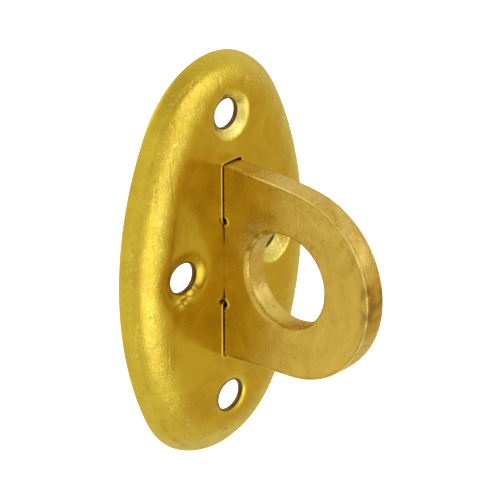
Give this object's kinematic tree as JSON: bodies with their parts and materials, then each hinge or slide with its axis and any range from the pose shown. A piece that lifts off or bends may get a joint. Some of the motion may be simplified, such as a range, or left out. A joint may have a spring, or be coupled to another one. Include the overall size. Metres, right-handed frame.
{
  "type": "pad eye",
  "caption": "Wall pad eye: a D-shaped eye plate riveted edge-on through a pressed oval base plate with countersunk screw holes.",
  "frame": {"origin": "centre of the wall side of the base plate, on the wall's plane", "axes": "+Z along the base plate's long axis, up; +Y into the wall, so the eye stands out toward -Y; +X along the axis of the eye"},
  "size_m": [0.0516, 0.0412, 0.08],
  "materials": {
    "pressed_sheet": "satin yellow-passivated zinc plating over pressed steel sheet",
    "sheared_plate": "satin yellow-passivated zinc plating over sheared steel plate"
  },
  "bodies": {
    "root": {"base_plate": "pressed_sheet", "eye_plate": "sheared_plate"}
  },
  "joints": []
}
